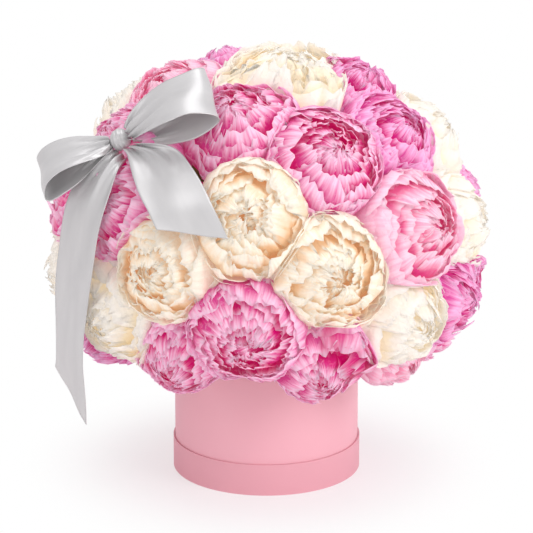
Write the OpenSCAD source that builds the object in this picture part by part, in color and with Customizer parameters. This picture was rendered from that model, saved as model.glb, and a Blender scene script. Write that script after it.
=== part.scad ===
// Round flower box: a paper-covered board box standing in its own upturned lid,
// filled with floral foam and planted with a dome of peonies, with a satin bow.
// Millimetres, +Z up. The origin is the centre of the lid's underside.

/* [Box] */
// Outside diameter of the box over its paper
box_d = 200; // [190:1:215]
// Height of the box from its foot to its rim
box_h = 186; // [165:1:210]
// Thickness of the box board
board_t = 2; // [1.5:0.1:3]
// Thickness of the covering paper
paper_t = 0.3; // [0.2:0.05:0.5]
// How far the paper is turned in, inside the rim and under the foot
turn_in = 15; // [8:1:30]

/* [Lid] */
// Height of the lid's band
lid_h = 35; // [25:1:50]
// Thickness of the lid's board
lid_board_t = 1.1; // [0.8:0.1:2]
// Thickness of the lid's round top board
lid_top_t = 2; // [1.5:0.1:3]
// Gap all round between the box and the lid
lid_fit = 0.3; // [0.2:0.1:1]

/* [Foam] */
// Thickness of the liner's wall
liner_t = 1; // [0.6:0.1:2]
// Height of the liner inside the box
liner_h = 140; // [100:5:150]
// Gap all round between the liner and what is inside and outside it
liner_fit = 0.4; // [0.2:0.1:0.8]
// How far the middle of the foam's round top stands above the rim
foam_rise = 44; // [36:1:50]

/* [Flower dome] */
// How far the ring of bloom centres stands out beyond the box
overhang = 97; // [92:1:104]
// Half-height of the dome of bloom centres
dome_h = 166; // [158:1:176]
// Height of the middle of the dome above the rim
dome_lift = 70; // [64:1:76]

/* [Peonies] */
// Radius of a small bloom
bloom_small = 44; // [42:1:46]
// Radius of a medium bloom
bloom_medium = 50; // [47:1:52]
// Radius of a full bloom
bloom_full = 54; // [52:1:56]
// Radius of the widest blooms
bloom_wide = 57; // [54:1:59]
// Thickness of a petal row
petal_t = 1.6; // [1.2:0.1:2]
// Gap left between neighbouring blooms
bloom_gap = 0.8; // [0.6:0.1:1.5]
// Diameter of a stem
stem_d = 6; // [5:0.5:7]
// Distance from the middle of the dome to the inner end of every stem
stem_end = 42; // [38:1:48]
// Radius of the calyx under a bloom
calyx_r = 8; // [7:0.5:9]
// Height of the calyx
calyx_h = 9; // [7:0.5:11]
// Thickness of the calyx's leaves
sepal_t = 1; // [0.8:0.1:1.2]

/* [Bow] */
// Width of the ribbon
ribbon_w = 65; // [60:1:68]
// Thickness of the ribbon
ribbon_t = 0.5; // [0.4:0.05:0.7]
// Largest radius of the knot
knot_r = 13; // [12:0.5:14]
// Length of the knot along the bow
knot_len = 22; // [18:1:24]
// Diameter of the pick that holds the bow in the foam
pick_d = 3; // [2:0.5:4]
// Gap between the bow's pieces, and round the pick
bow_gap = 0.3; // [0.2:0.05:0.5]

/* [Hidden] */
$fn = 96;

// Levels, from the floor up
lid_floor_z = paper_t + lid_top_t;
rim_z = lid_floor_z + box_h;
dome_z = rim_z + dome_lift;

// Radii of the box, from the outside in
box_r = box_d / 2;
tube_r = box_r - paper_t;
tube_in_r = tube_r - board_t;
lining_r = tube_in_r - paper_t;
liner_r = lining_r - liner_fit;
foam_r = liner_r - liner_t - liner_fit;

// Radii and levels of the lid
lid_in_r = box_r + lid_fit;
band_in_r = lid_in_r + paper_t;
band_r = band_in_r + lid_board_t;
lid_r = band_r + paper_t;
lid_turn = lid_h / 2;

// Levels inside the box
tube_foot_z = lid_floor_z + paper_t;
liner_foot_z = tube_foot_z + board_t;
foam_foot_z = liner_foot_z + liner_t;
foam_round_z = rim_z + foam_rise;

// The dome of bloom centres
dome_r = box_r + overhang;

// The outside of the flower dome, which the ribbon lies on
bloom_crown = 0.8;
outside_r = dome_r + bloom_crown * bloom_full;
outside_h = dome_h + bloom_crown * bloom_full;

WHITE = "ivory";
CREAM = "wheat";
PINK = "hotpink";
HOT = "mediumvioletred";
PALE = "lightpink";

// The planting plan. Each row is a bloom's name, its azimuth round the dome
// (0 at the front, 90 at the right), its elevation, its colour and its radius.
PLAN = [
    ["crown", 150, 77, WHITE, bloom_wide + 2],
    ["upper_front", -19, 61, PINK, bloom_full],
    ["upper_left", -100, 61, PALE, bloom_medium],
    ["upper_back_left", -158, 59, HOT, bloom_medium],
    ["upper_right", 108, 61, HOT, bloom_medium],
    ["shoulder_front", 25, 46, PINK, bloom_full],
    ["shoulder_front_right", 69, 46, HOT, bloom_medium],
    ["shoulder_right", 101, 35, WHITE, bloom_full],
    ["shoulder_back_right", 148, 43, PALE, bloom_wide],
    ["shoulder_back", -164, 37, PINK, bloom_wide],
    ["shoulder_back_left", -121, 39, WHITE, bloom_full],
    ["shoulder_left", -78, 42, PINK, bloom_small],
    ["face_centre", -5, 26, CREAM, bloom_wide],
    ["face_left", -55, 26, PINK, bloom_full],
    ["face_right", 51, 17, PALE, bloom_wide],
    ["side_left", -89, 18, PINK, bloom_medium],
    ["waist_front_right", 18, 8, CREAM, bloom_full],
    ["waist_front_left", -31, 8, CREAM, bloom_medium],
    ["waist_right", 80, 9, WHITE, bloom_medium],
    ["waist_side_right", 106, 8, HOT, bloom_medium],
    ["waist_back_right", 141, 8, CREAM, bloom_wide],
    ["waist_back", 177, 8, HOT, bloom_wide],
    ["waist_back_left", -148, 8, PALE, bloom_wide],
    ["waist_side_left", -114, 8, PINK, bloom_full],
    ["waist_left", -85, -10, WHITE, bloom_medium],
    ["lower_front", -6, -12, PINK, bloom_full],
    ["lower_front_right", 47, -16, WHITE, bloom_medium],
    ["lower_front_left", -52, -16, WHITE, bloom_medium],
    ["lower_right", 75, -16, HOT, bloom_medium],
    ["lower_side_right", 114, -16, WHITE, bloom_wide],
    ["lower_back_right", 152, -16, PINK, bloom_wide],
    ["lower_back", -170, -16, WHITE, bloom_wide],
    ["lower_back_left", -132, -16, HOT, bloom_wide],
    ["skirt_front_left", -30, -28, PINK, bloom_small],
    ["skirt_front_right", 17, -31, PINK, bloom_small],
    ["skirt_right", 51, -33, PALE, bloom_small - 2],
    ["skirt_side_right", 92, -33, PINK, bloom_medium],
    ["skirt_back_right", 131, -34, HOT, bloom_medium],
    ["skirt_back", 172, -33, PALE, bloom_medium],
    ["skirt_back_left", -149, -34, WHITE, bloom_medium],
    ["skirt_side_left", -108, -33, PINK, bloom_medium],
    ["skirt_left", -75, -31, HOT, bloom_small]
];

function bloom_node(row) = str("peony_", row[0]);

// ---- Vectors ----

function unit(v) = v / norm(v);

// A point of the dome of bloom centres, from the middle of the dome
function dome_point(azimuth, elevation) = [
    dome_r * cos(elevation) * sin(azimuth),
    -dome_r * cos(elevation) * cos(azimuth),
    dome_h * sin(elevation)
];

// A point near the outside of the flowers, in percent of the dome's outside
// half-width and half-height, from the middle of the dome
function outside_point(p) = [p.x * outside_r, p.y * outside_r, p.z * outside_h] / 100;

// Sets its children at the middle of the dome
module at_dome() {
    translate([0, 0, dome_z])
        children();
}

// Turns +Z to a direction
module aim(v) {
    rotate([0, acos(unit(v).z), atan2(v.y, v.x)])
        children();
}

// ---- Lid ----

// A round board or paper with square edges
module disc(r, t, z) {
    translate([0, 0, z])
        cylinder(r = r, h = t);
}

// A plain tube wall
module ring(r_out, r_in, z, h) {
    translate([0, 0, z])
        rotate_extrude()
            translate([r_in, 0])
                square([r_out - r_in, h]);
}

module lid_top_board() {
    color("pink")
        disc(band_in_r, lid_top_t, paper_t);
}

module lid_band_board() {
    color("pink")
        ring(band_r, band_in_r, paper_t, lid_h - 2 * paper_t);
}

module lid_top_paper() {
    color("lightpink")
        disc(lid_r, paper_t, 0);
}

// The strip round the band, turned in over its edge
module lid_band_paper() {
    color("lightpink") {
        rotate_extrude()
            union() {
                translate([band_r, paper_t])
                    square([paper_t, lid_h - paper_t]);
                translate([lid_in_r, lid_h - paper_t])
                    square([lid_r - lid_in_r, paper_t]);
                translate([lid_in_r, lid_h - lid_turn])
                    square([paper_t, lid_turn]);
            }
    }
}

// ---- Box ----

module box_tube() {
    color("pink")
        ring(tube_r, tube_in_r, tube_foot_z, rim_z - paper_t - tube_foot_z);
}

module box_base() {
    color("pink")
        disc(tube_in_r, board_t, tube_foot_z);
}

// The strip round the box, turned in over the rim and under the foot
module box_paper() {
    color("lightpink")
        rotate_extrude()
            union() {
                translate([tube_r, lid_floor_z])
                    square([paper_t, box_h]);
                translate([lining_r, rim_z - paper_t])
                    square([box_r - lining_r, paper_t]);
                translate([lining_r, rim_z - turn_in])
                    square([paper_t, turn_in]);
                translate([box_r - turn_in, lid_floor_z])
                    square([turn_in, paper_t]);
            }
}

// ---- Foam ----

module foam_liner() {
    color("whitesmoke")
        difference() {
            disc(liner_r, liner_h, liner_foot_z);
            disc(liner_r - liner_t, liner_h, foam_foot_z);
        }
}

// The foam, carved round on top, with a hole for every stem and for the pick
module floral_foam() {
    stem_hole_r = stem_d / 2 + 0.1;
    color("seagreen")
        difference() {
            union() {
                disc(foam_r, foam_round_z - foam_foot_z, foam_foot_z);
                translate([0, 0, foam_round_z])
                    sphere(r = foam_r);
            }
            at_dome() {
                for (row = PLAN)
                    aim(bloom_centre(row))
                        translate([0, 0, stem_end])
                            cylinder(r = stem_hole_r, h = dome_r);
                aim(knot_centre)
                    translate([0, 0, stem_end])
                        cylinder(r = pick_d / 2 + 0.1, h = dome_r);
            }
        }
}

// ---- Peonies ----

function bloom_centre(row) = dome_point(row[1], row[2]);
function bloom_radius(row) = row[4];

// Proportions of a bloom, as shares of its radius. The widest part is at the
// bloom's centre, and its outer side faces away from the middle of the dome.
bowl_depth = 0.72;
cup_rise = 0.15;
heart_share = 0.46;
receptacle = 0.16;

// The rows of petals, from the outside in. Each is a cup's radius and rise as
// shares of the bloom's, and the angle from the axis to its rim.
GUARD = [1.00, 0, 62];
MIDDLE = [0.80, cup_rise, 46];
INNER = [0.62, cup_rise, 34];
CUPS = [GUARD, MIDDLE, INNER];
middle_petals = 6;
inner_petals = 5;
// How far a bloom's inner rows turn for each degree of its azimuth
petal_turn = 7;
// The angle round a bloom's axis at which its cups' walls start and end
seam_turn = 40;
// Size of the gap between two petals, as a share of the cup's radius
guard_gap = 0.34;
petal_gap = 0.24;

// Depth of the bloom's flat seat under its centre
function seat_depth(r) = bowl_depth * r;

// Half the section of one cup, flat behind
module cup_section(r, rise, rim, floor_z) {
    translate([0, rise])
        intersection() {
            difference() {
                circle(r = r);
                circle(r = r - petal_t);
            }
            translate([0, floor_z - rise])
                square([r, r * cos(rim) - floor_z + rise]);
        }
}

// Half the section of a whole bloom, from its axis outwards
module bloom_section(r) {
    floor_z = -seat_depth(r);
    for (cup = CUPS)
        cup_section(cup[0] * r, cup[1] * r, cup[2], floor_z);
    intersection() {
        translate([0, cup_rise * r])
            circle(r = heart_share * r);
        translate([0, -r])
            square([r, 2 * r]);
    }
    translate([0, floor_z])
        square([sqrt(r * r - floor_z * floor_z) - petal_t / 4, petal_t]);
    translate([0, floor_z])
        square([receptacle * r, r * bowl_depth]);
}

// One gap between two petals of a cup, cut into its rim at an angle round it
module petal_gap_at(r, cup, share, turn) {
    cup_r = cup[0] * r;
    size = share * cup_r;
    translate([0, 0, cup[1] * r])
        rotate([0, cup[2], turn])
            translate([0, 0, cup_r - 2.5 * petal_t])
                rotate([0, 0, 45])
                    translate([-size / 2, -size / 2, 0])
                        cube([size, size, 4 * petal_t]);
}

// The angle round a bloom's axis at which another bloom lies
function angle_round(centre, other) =
    let (v = other - centre, b = acos(unit(centre).z), c = atan2(centre.y, centre.x))
    atan2(v.y * cos(c) - v.x * sin(c),
          (v.x * cos(c) + v.y * sin(c)) * cos(b) - v.z * sin(b));

function pressed(a, b) = a[0] != b[0]
    && norm(bloom_centre(b) - bloom_centre(a)) < bloom_radius(a) + bloom_radius(b) + bloom_gap;

// What the gaps between a whole bloom's petals take away. The outer petals
// part where the neighbours press, and bulge out between them.
module all_petal_gaps(row) {
    r = bloom_radius(row);
    for (other = PLAN)
        if (pressed(row, other))
            petal_gap_at(r, GUARD, guard_gap, angle_round(bloom_centre(row), bloom_centre(other)));
    for (k = [0 : middle_petals - 1])
        petal_gap_at(r, MIDDLE, petal_gap, petal_turn * row[1] + k * 360 / middle_petals);
    for (k = [0 : inner_petals - 1])
        petal_gap_at(r, INNER, petal_gap, petal_turn * row[1] + k * 360 / inner_petals);
}

// A bloom in its place, flattened where a neighbour or the pick meets it
module peony(row) {
    centre = bloom_centre(row);
    r = bloom_radius(row);
    color(row[3])
        at_dome()
            difference() {
                translate(centre)
                    aim(centre)
                        rotate([0, 0, seam_turn])
                            rotate_extrude()
                                bloom_section(r);
                translate(centre)
                    aim(centre)
                        all_petal_gaps(row);
                for (other = PLAN)
                    if (pressed(row, other))
                        neighbour_side(centre, r, bloom_centre(other), bloom_radius(other));
                aim(knot_centre)
                    cylinder(r = pick_d / 2 + bow_gap, h = norm(knot_centre));
            }
}

// The space beyond the flat face where two blooms press together
module neighbour_side(centre, r, other, other_r) {
    apart = norm(other - centre);
    translate(centre)
        aim(other - centre)
            translate([-2 * r, -2 * r, apart * r / (r + other_r) - bloom_gap / 2])
                cube([4 * r, 4 * r, 2 * r]);
}

// Every bloom's stem, from its calyx to its seat in the foam
module flower_stems() {
    color("olivedrab")
        at_dome()
            for (row = PLAN) {
                stem_top = norm(bloom_centre(row)) - seat_depth(bloom_radius(row)) - calyx_h;
                aim(bloom_centre(row))
                    translate([0, 0, stem_end])
                        cylinder(d = stem_d, h = stem_top - stem_end);
            }
}

// A calyx: a green cone under the bloom's seat, with five small round leaves
module calyx(r) {
    translate([0, 0, -seat_depth(r) - calyx_h])
        cylinder(r1 = stem_d / 2 + 1, r2 = calyx_r, h = calyx_h);
    translate([0, 0, -seat_depth(r) - sepal_t])
        linear_extrude(sepal_t)
            for (k = [0 : 4])
                rotate(k * 72)
                    translate([calyx_r, 0])
                        circle(r = calyx_r * 0.7);
}

module flower_calyxes() {
    color("olivedrab")
        at_dome()
            for (row = PLAN)
                translate(bloom_centre(row))
                    aim(bloom_centre(row))
                        calyx(bloom_radius(row));
}

// ---- Bow ----

// The knot, in percent of the outside of the dome, and its axis
KNOT_AT = [-63.6, -41.1, 66.9];
knot_centre = outside_point(KNOT_AT);
KNOT_AXIS = [0.87, -0.08, 0.49];

// Stations of the two loops. Each is a distance along the bow from the knot's
// end, a height off the flowers, a width in percent of the ribbon and a tilt.
LOOP_RIGHT = [
    [1, 4, 24, 0], [11, 14, 55, 10], [33, 27, 86, 18], [55, 35, 100, 20],
    [76, 36, 100, 18], [93, 29, 100, 8], [100, 17, 100, 2], [92, 9, 100, -2],
    [66, 2, 100, -4], [36, -1, 80, 0], [12, -4, 46, 0], [1, -4, 24, 0]
];
LOOP_LEFT = [
    [1, 4, 24, 0], [9, 10, 52, 5], [29, 20, 86, 10], [51, 26, 100, 10],
    [70, 25, 100, 6], [83, 15, 100, 0], [81, 7, 100, 0], [66, 5, 100, 0],
    [41, 5, 92, 0], [15, 2, 50, 0], [1, -2, 24, 0]
];
// Direction of each loop from the knot, and of its ribbon's width
LOOP_RIGHT_WAY = [0.93, -0.05, 0.40];
LOOP_RIGHT_ACROSS = [0.50, -0.72, -0.48];
LOOP_LEFT_WAY = [-0.80, 0.12, -0.57];
LOOP_LEFT_ACROSS = [0.14, -0.90, -0.41];

// Stations of the two tails. Each is a place in percent of the outside of the
// dome, the direction of the ribbon's width and a width in percent.
TAIL_SHORT = [
    [[-58.9, -46.7, 65.4], [0.60, -0.50, 0.50], 26],
    [[-49.7, -56.8, 64.3], [0.93, -0.15, 0.33], 77],
    [[-44.7, -66.8, 58.5], [0.96, -0.12, 0.22], 97],
    [[-40.5, -76.0, 51.8], [0.97, -0.08, 0.18], 103],
    [[-36.3, -84.8, 45.1], [0.97, -0.08, 0.12], 103],
    [[-31.7, -92.3, 36.0], [0.98, -0.13, -0.10], 115]
];
TAIL_LONG = [
    [[-63.0, -42.8, 59.1], [0.60, -0.60, -0.20], 26],
    [[-67.8, -49.0, 57.4], [0.60, -0.75, 0.00], 54],
    [[-75.2, -54.3, 47.0], [0.62, -0.78, 0.00], 90],
    [[-80.2, -55.1, 31.7], [0.62, -0.78, 0.00], 100],
    [[-83.1, -53.5, 9.6], [0.60, -0.80, 0.00], 100],
    [[-85.6, -51.0, -11.5], [0.55, -0.84, 0.00], 100],
    [[-86.9, -49.3, -30.7], [0.50, -0.86, 0.00], 100],
    [[-86.9, -48.0, -51.8], [0.50, -0.86, 0.00], 100],
    [[-86.5, -46.8, -67.2], [0.42, -0.70, -0.56], 120]
];

// A point on the smooth curve through four stations, at t from b to c
function curve_at(a, b, c, d, t) = (2 * b + (c - a) * t
    + (2 * a - 5 * b + 4 * c - d) * t * t
    + (3 * b - a - 3 * c + d) * t * t * t) / 2;

function smoothed(p, steps) = [
    for (i = [0 : len(p) - 2], k = [0 : steps - 1])
        curve_at(p[max(i - 1, 0)], p[i], p[i + 1], p[min(i + 2, len(p) - 1)], k / steps),
    p[len(p) - 1]
];

// Loop and tail stations as [x, y, z, across x, y, z, width]
function loop_path(stations, way, across) =
    let (d = unit(way), w = unit(across - (across * d) * d), n = out_of(d, w))
    [for (s = stations)
        let (p = knot_centre + (knot_len / 2 + s[0]) * d + s[1] * n,
             a = w * cos(s[3]) + n * sin(s[3]))
        [p.x, p.y, p.z, a.x, a.y, a.z, ribbon_w * s[2] / 100]];

function out_of(d, w) = let (n = cross(d, w)) n.z > 0 ? n : -n;

function tail_path(stations) = [
    for (s = stations)
        let (p = outside_point(s[0]), a = unit(s[1]))
        [p.x, p.y, p.z, a.x, a.y, a.z, ribbon_w * s[2] / 100]
];

// A flat ribbon swept along its stations, as one closed skin
module ribbon(stations) {
    path = smoothed(stations, 3);
    last = len(path) - 1;
    across = 4;
    ring = 2 * (across + 1);
    centre = [for (s = path) [s[0], s[1], s[2]]];
    side = [for (s = path) unit([s[3], s[4], s[5]])];
    along = [for (i = [0 : last]) centre[min(i + 1, last)] - centre[max(i - 1, 0)]];
    face = [for (i = [0 : last]) unit(cross(along[i], side[i])) * ribbon_t / 2];
    points = [
        for (i = [0 : last], k = [0 : ring - 1])
            let (u = k <= across ? k / across - 0.5 : (ring - 1 - k) / across - 0.5)
            centre[i] + side[i] * path[i][6] * u + (k <= across ? face[i] : -face[i])
    ];
    faces = [
        for (k = [0 : across - 1])
            let (a = ring - 1 - k, b = ring - 2 - k)
            each [[k, k + 1, b], [k, b, a]],
        for (i = [0 : last - 1], k = [0 : ring - 1])
            let (a = i * ring + k, b = i * ring + (k + 1) % ring)
            each [[a, a + ring, b], [b, a + ring, b + ring]],
        for (k = [0 : across - 1])
            let (z = last * ring, a = z + ring - 1 - k, b = z + ring - 2 - k)
            each [[z + k, b, z + k + 1], [z + k, a, b]]
    ];
    polyhedron(points, faces);
}

module bow_loop_right() {
    color("silver")
        at_dome()
            ribbon(loop_path(LOOP_RIGHT, LOOP_RIGHT_WAY, LOOP_RIGHT_ACROSS));
}

module bow_loop_left() {
    color("silver")
        at_dome()
            ribbon(loop_path(LOOP_LEFT, LOOP_LEFT_WAY, LOOP_LEFT_ACROSS));
}

module ribbon_tail_short() {
    color("silver")
        at_dome()
            ribbon(tail_path(TAIL_SHORT));
}

module ribbon_tail_long() {
    color("silver")
        at_dome()
            ribbon(tail_path(TAIL_LONG));
}

// The knot: a tight round of ribbon with the pick tied into it
module bow_knot() {
    round_r = 21;
    color("silver")
        at_dome()
            difference() {
                translate(knot_centre)
                    aim(KNOT_AXIS)
                        rotate_extrude()
                            intersection() {
                                translate([knot_r - round_r, 0])
                                    circle(r = round_r);
                                translate([0, -knot_len / 2])
                                    square([knot_r, knot_len]);
                            }
                aim(knot_centre)
                    cylinder(r = pick_d / 2 + 0.1, h = norm(knot_centre));
            }
}

module bow_pick() {
    color("burlywood")
        at_dome()
            aim(knot_centre)
                translate([0, 0, stem_end])
                    cylinder(d = pick_d, h = norm(knot_centre) - stem_end);
}

// ---- Nodes ----

lid_top_board();
lid_band_board();
lid_top_paper();
lid_band_paper();
box_tube();
box_base();
box_paper();
foam_liner();
floral_foam();
flower_stems();
flower_calyxes();
bow_pick();
bow_knot();
bow_loop_right();
bow_loop_left();
ribbon_tail_short();
ribbon_tail_long();
for (row = PLAN)
    peony(row);
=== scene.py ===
import math

import bmesh
import bpy
import numpy as np
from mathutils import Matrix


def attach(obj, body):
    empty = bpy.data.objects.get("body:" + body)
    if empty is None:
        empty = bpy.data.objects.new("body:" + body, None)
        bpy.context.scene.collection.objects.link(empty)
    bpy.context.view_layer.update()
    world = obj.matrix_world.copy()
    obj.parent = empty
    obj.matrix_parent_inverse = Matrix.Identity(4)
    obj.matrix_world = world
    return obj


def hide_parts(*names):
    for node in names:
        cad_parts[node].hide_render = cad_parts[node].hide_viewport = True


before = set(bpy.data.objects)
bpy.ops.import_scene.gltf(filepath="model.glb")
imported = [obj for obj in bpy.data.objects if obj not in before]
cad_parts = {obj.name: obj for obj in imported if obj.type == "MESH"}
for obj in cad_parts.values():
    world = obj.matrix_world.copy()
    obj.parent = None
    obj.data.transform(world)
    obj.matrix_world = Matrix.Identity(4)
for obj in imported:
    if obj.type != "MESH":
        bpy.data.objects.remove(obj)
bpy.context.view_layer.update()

# ---------------------------------------------------------------- Camera
# A long lens a little above the flowers, looking down on the box, as a shop
# pictures an arrangement on a white table.
camera = bpy.data.objects.new("camera", bpy.data.cameras.new("camera"))
camera.data.sensor_width = 36
camera.data.lens = 275.4
camera.data.clip_end = 50
camera.location = (0, -4.2, 1.60)
camera.rotation_euler = (math.radians(90 - 18.11), 0, 0)
bpy.context.scene.collection.objects.link(camera)
bpy.context.scene.camera = camera
bpy.context.scene.view_settings.view_transform = "Standard"


# ---------------------------------------------------------------- Table and light
# A white table that runs out to nothing, under three broad soft lamps and a pale
# sky. The table keeps the box's soft shadow and fades to white further off.
def paint(red, green, blue):
    """A paint chip's 0 to 255 values as a colour for a shader."""
    chips = [c / 255 for c in (red, green, blue)]
    return [c / 12.92 if c <= 0.04045 else ((c + 0.055) / 1.055) ** 2.4 for c in chips] + [1]


def add(tree, kind, settings=None, **inputs):
    """A node with its settings and its inputs, each a value or another node's output."""
    made = tree.nodes.new(kind)
    for key, value in (settings or {}).items():
        setattr(made, key, value)
    for key, value in inputs.items():
        name = key.replace("_", " ")
        socket = made.inputs[int(key[1:])] if key[0] == "i" and key[1:].isdigit() else made.inputs[name]
        if isinstance(value, bpy.types.NodeSocket):
            tree.links.new(value, socket)
        else:
            socket.default_value = value
    return made


def finish_in(name):
    """A new material with an empty node tree, and that tree."""
    made = bpy.data.materials.new(name)
    made.use_nodes = True
    made.node_tree.nodes.clear()
    return made, made.node_tree


table_r = 6.0
white_from, white_to = 0.11, 0.28
turn = np.linspace(0, 2 * np.pi, 97)[:-1]
table_mesh = bpy.data.meshes.new("table")
table_mesh.from_pydata(
    [(table_r * math.cos(a), table_r * math.sin(a), 0) for a in turn], [], [range(len(turn))]
)
table = bpy.data.objects.new("table", table_mesh)
bpy.context.scene.collection.objects.link(table)
table_white, tree = finish_in("white table")
where = add(tree, "ShaderNodeTexCoord")
apart = add(tree, "ShaderNodeVectorMath", {"operation": "LENGTH"}, i0=where.outputs["Object"])
fade = add(tree, "ShaderNodeMapRange", {"interpolation_type": "SMOOTHSTEP"}, Value=apart.outputs["Value"],
           From_Min=white_from, From_Max=white_to, To_Min=0.55, To_Max=1.0)
seen = add(tree, "ShaderNodeLightPath")
share = add(tree, "ShaderNodeMath", {"operation": "MULTIPLY"},
            i0=fade.outputs[0], i1=seen.outputs["Is Camera Ray"])
lit = add(tree, "ShaderNodeBsdfPrincipled", Base_Color=paint(246, 244, 244), Roughness=0.55)
bright = add(tree, "ShaderNodeEmission", Color=(1, 1, 1, 1), Strength=1.0)
both = add(tree, "ShaderNodeMixShader", i0=share.outputs[0], i1=lit.outputs[0], i2=bright.outputs[0])
add(tree, "ShaderNodeOutputMaterial", Surface=both.outputs[0])
table_mesh.materials.append(table_white)

sky = bpy.data.worlds.new("pale sky")
sky.use_nodes = True
sky.node_tree.nodes.clear()
tree = sky.node_tree
seen = add(tree, "ShaderNodeLightPath")
soft = add(tree, "ShaderNodeBackground", Color=paint(250, 248, 250), Strength=0.80)
plain = add(tree, "ShaderNodeBackground", Color=(1, 1, 1, 1), Strength=1.0)
both = add(tree, "ShaderNodeMixShader",
           i0=seen.outputs["Is Camera Ray"], i1=soft.outputs[0], i2=plain.outputs[0])
add(tree, "ShaderNodeOutputWorld", Surface=both.outputs[0])
bpy.context.scene.world = sky

lamps_aim_at = 0.25
for name, at, size, watts in (
    ("key lamp", (2.3, -1.8, 1.8), 1.3, 45),
    ("fill lamp", (-2.2, -1.8, 1.3), 1.8, 15),
    ("top lamp", (0.1, 0.4, 2.8), 1.6, 24),
):
    lamp = bpy.data.objects.new(name, bpy.data.lights.new(name, "AREA"))
    lamp.data.size = size
    lamp.data.energy = watts
    lamp.location = at
    lamp.rotation_euler = (
        math.atan2(math.hypot(at[0], at[1]), at[2] - lamps_aim_at), 0, math.atan2(at[0], -at[1])
    )
    bpy.context.scene.collection.objects.link(lamp)


# ---------------------------------------------------------------- Box and lid
# Two round boards and two bent board walls, wrapped in thin pink paper that is
# glued down and turned in over the rim, under the foot and over the lid's edge.
def paper_grain():
    """The cloudy fibres of pressed paper, as a colour share and a height."""
    group = bpy.data.node_groups.new("paper grain", "ShaderNodeTree")
    for name in ("Fibre Scale", "Cloud Scale"):
        group.interface.new_socket(name, in_out="INPUT", socket_type="NodeSocketFloat")
    for name in ("Cloud", "Height"):
        group.interface.new_socket(name, in_out="OUTPUT", socket_type="NodeSocketFloat")
    came = group.nodes.new("NodeGroupInput")
    where = add(group, "ShaderNodeTexCoord")
    fibre = add(group, "ShaderNodeTexNoise", Vector=where.outputs["Object"],
                Scale=came.outputs["Fibre Scale"], Detail=5.0, Roughness=0.65)
    cloud = add(group, "ShaderNodeTexNoise", Vector=where.outputs["Object"],
                Scale=came.outputs["Cloud Scale"], Detail=3.0, Roughness=0.5)
    add(group, "NodeGroupOutput", Cloud=cloud.outputs["Fac"], Height=fibre.outputs["Fac"])
    return group


paper = paper_grain()


def papered(name, light, dark, roughness, fibre, bump, shine):
    """A sheet of board or paper: a cloudy colour between two shades, with a fine fibre."""
    made, tree = finish_in(name)
    grain = add(tree, "ShaderNodeGroup", {"node_tree": paper}, Fibre_Scale=fibre, Cloud_Scale=14.0)
    colour = add(tree, "ShaderNodeMix", {"data_type": "RGBA"}, i0=grain.outputs["Cloud"], i6=dark, i7=light)
    rough = add(tree, "ShaderNodeMapRange", Value=grain.outputs["Height"],
                To_Min=roughness - 0.06, To_Max=roughness + 0.08)
    relief = add(tree, "ShaderNodeBump", Strength=bump, Distance=0.0002, Height=grain.outputs["Height"])
    skin = add(tree, "ShaderNodeBsdfPrincipled", Base_Color=colour.outputs[2], Roughness=rough.outputs[0],
               Normal=relief.outputs[0], Specular_IOR_Level=shine)
    add(tree, "ShaderNodeOutputMaterial", Surface=skin.outputs[0])
    return made


def dress(node, finish):
    """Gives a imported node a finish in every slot."""
    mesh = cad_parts[node].data
    mesh.materials.clear()
    mesh.materials.append(finish)


box_wrap = papered("box wrap", paint(236, 176, 187), paint(231, 169, 180), 0.46, 900.0, 0.25, 0.8)
# painted shade: the lid's paper is the box's pink painted darker, since the lid takes more light than the
# box's wall
lid_wrap = papered("lid wrap", paint(228, 166, 177), paint(222, 159, 170), 0.44, 900.0, 0.25, 0.7)
bare_board = papered("bare board", paint(222, 208, 190), paint(206, 190, 170), 0.85, 500.0, 0.6, 0.4)
dress("box_paper", box_wrap)
for node in ("lid_band_paper", "lid_top_paper"):
    dress(node, lid_wrap)
for node in ("lid_top_board", "lid_band_board", "box_tube", "box_base"):
    dress(node, bare_board)


# ---------------------------------------------------------------- Liner and foam
# A thin plastic liner keeps the water in. The foam is a soaked open-celled
# block, carved round on top, that holds every stem.
def cellular(name, light, dark, scale, roughness, bump):
    """A crumbly foam with open cells."""
    made, tree = finish_in(name)
    where = add(tree, "ShaderNodeTexCoord")
    cells = add(tree, "ShaderNodeTexVoronoi", Vector=where.outputs["Object"], Scale=scale)
    cloud = add(tree, "ShaderNodeTexNoise", Vector=where.outputs["Object"], Scale=30.0, Detail=4.0)
    blend = add(tree, "ShaderNodeMath", {"operation": "MULTIPLY"},
                i0=cells.outputs["Distance"], i1=cloud.outputs["Fac"])
    colour = add(tree, "ShaderNodeMix", {"data_type": "RGBA"}, i0=blend.outputs[0], i6=dark, i7=light)
    relief = add(tree, "ShaderNodeBump", Strength=bump, Distance=0.0006, Height=cells.outputs["Distance"])
    skin = add(tree, "ShaderNodeBsdfPrincipled", Base_Color=colour.outputs[2], Roughness=roughness,
               Normal=relief.outputs[0])
    add(tree, "ShaderNodeOutputMaterial", Surface=skin.outputs[0])
    return made


dress("floral_foam", cellular("soaked foam", paint(74, 128, 82), paint(30, 74, 42), 700.0, 0.8, 0.9))
liner_white, tree = finish_in("liner plastic")
where = add(tree, "ShaderNodeTexCoord")
streaks = add(tree, "ShaderNodeTexNoise", Vector=where.outputs["Object"], Scale=60.0, Detail=2.0)
colour = add(tree, "ShaderNodeMix", {"data_type": "RGBA"}, i0=streaks.outputs["Fac"],
             i6=paint(226, 230, 228), i7=paint(240, 242, 240))
rough = add(tree, "ShaderNodeMapRange", Value=streaks.outputs["Fac"], To_Min=0.25, To_Max=0.4)
skin = add(tree, "ShaderNodeBsdfPrincipled", Base_Color=colour.outputs[2], Roughness=rough.outputs[0])
add(tree, "ShaderNodeOutputMaterial", Surface=skin.outputs[0])
dress("foam_liner", liner_white)


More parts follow.
